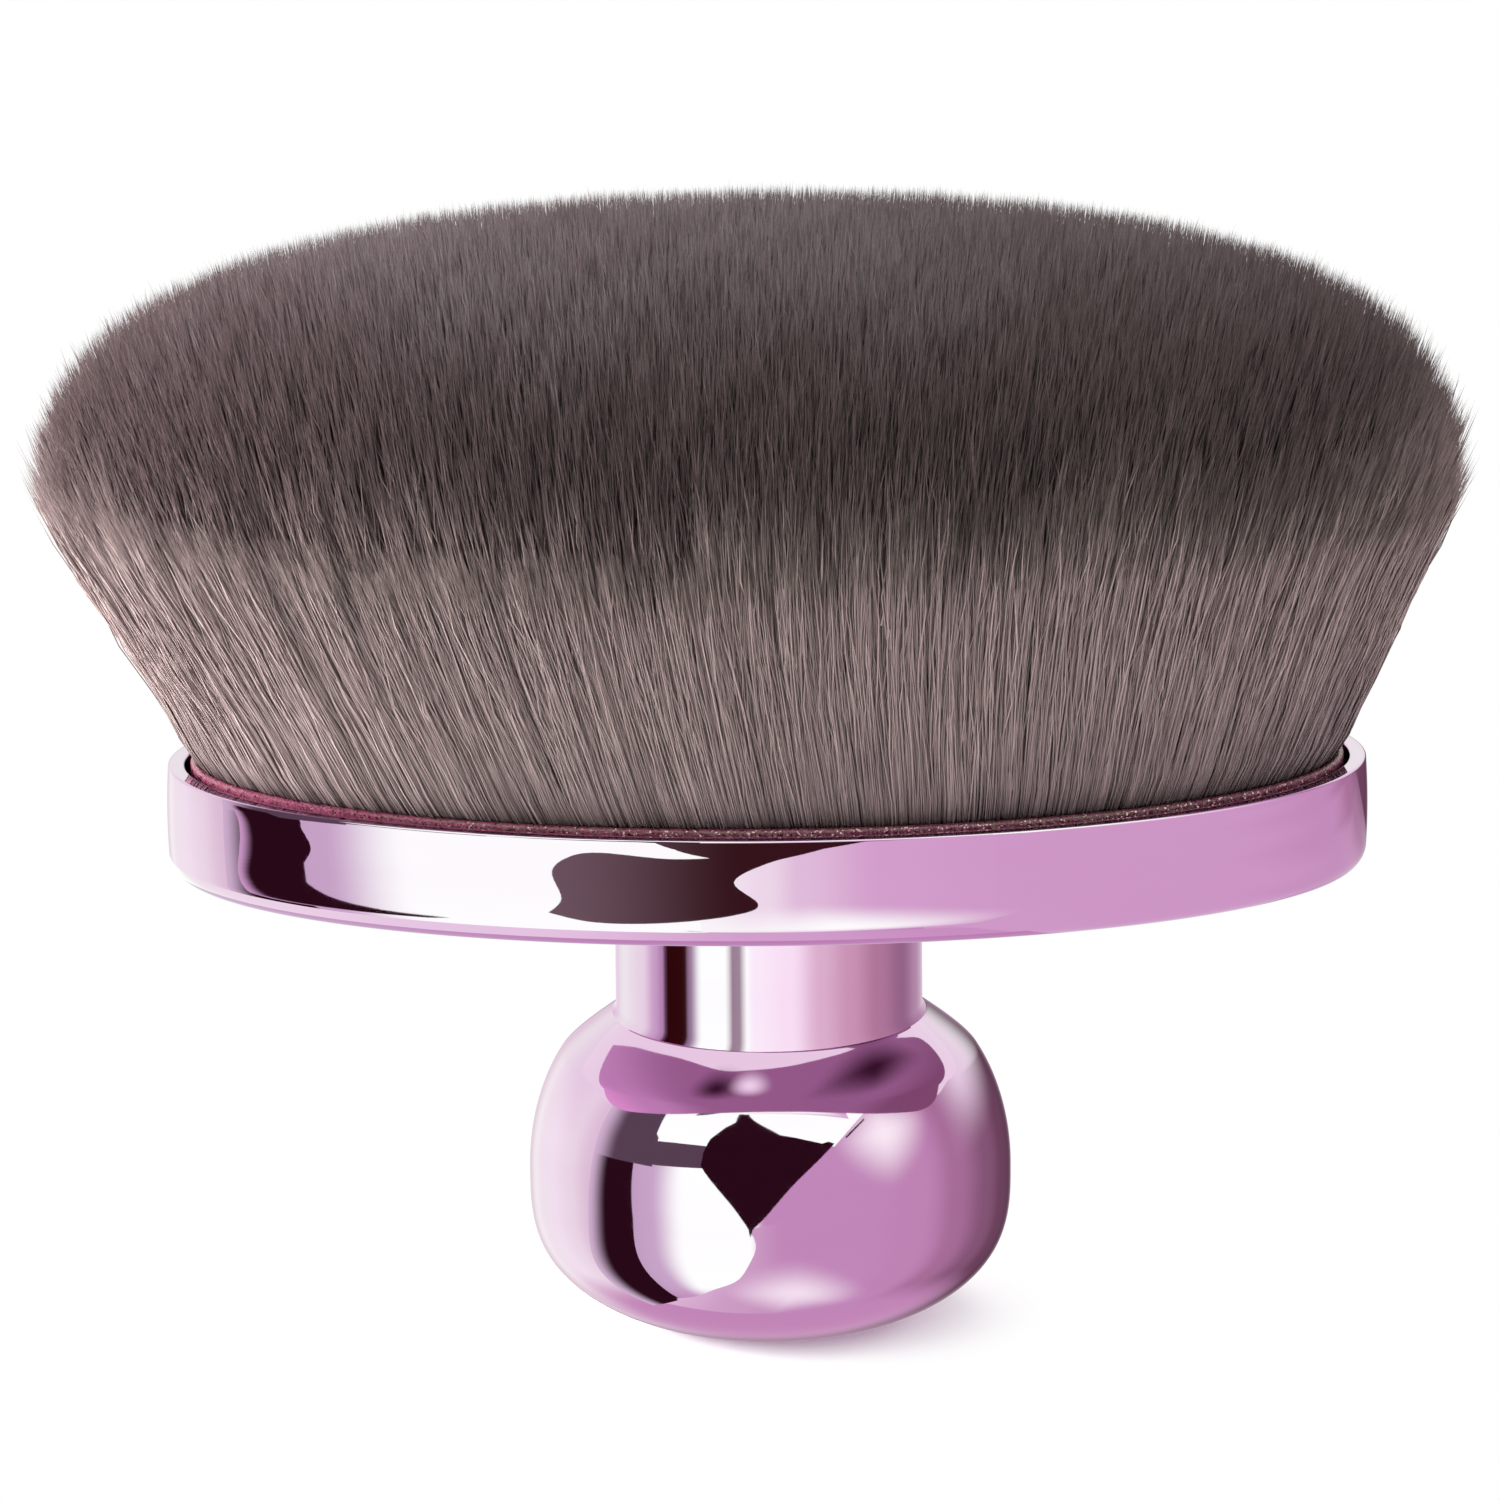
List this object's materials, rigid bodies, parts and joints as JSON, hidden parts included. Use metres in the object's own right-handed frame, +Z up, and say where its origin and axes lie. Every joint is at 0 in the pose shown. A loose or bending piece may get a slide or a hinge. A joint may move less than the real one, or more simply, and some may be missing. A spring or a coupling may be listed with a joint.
{
  "type": "oval makeup brush",
  "caption": "Oval makeup brush: dense domed two-tone bristle tuft in a pink metallic oval tray, on a short round weighted knob handle that it stands on",
  "frame": {"origin": "centre of the flat base of the knob handle, on the surface that the brush stands on", "axes": "+Z up through the knob, the neck and the tuft; X along the long axis of the oval head; -Y the front that the picture shows"},
  "size_m": [0.0754, 0.0412, 0.0602],
  "materials": {
    "bristle_fibre": "fine synthetic filament, light taupe at the root and charcoal brown at the tip",
    "clear_resin": "set epoxy",
    "mauve_cup": "dark mauve with fine metal flake",
    "pink_chrome": "mirror plated, pink lilac tint",
    "zinc_steel": "zinc plated",
    "brass": "turned brass",
    "cap_plastic": "satin moulded, pink lilac"
  },
  "bodies": {
    "root": {"bristle_tuft": "bristle_fibre", "root_resin": "clear_resin", "bristle_cup": "mauve_cup", "rim_tray": "pink_chrome", "handle_knob": "pink_chrome", "tray_screw": "zinc_steel", "threaded_insert": "brass", "weight_slug": "zinc_steel", "base_cap": "cap_plastic"}
  },
  "joints": []
}
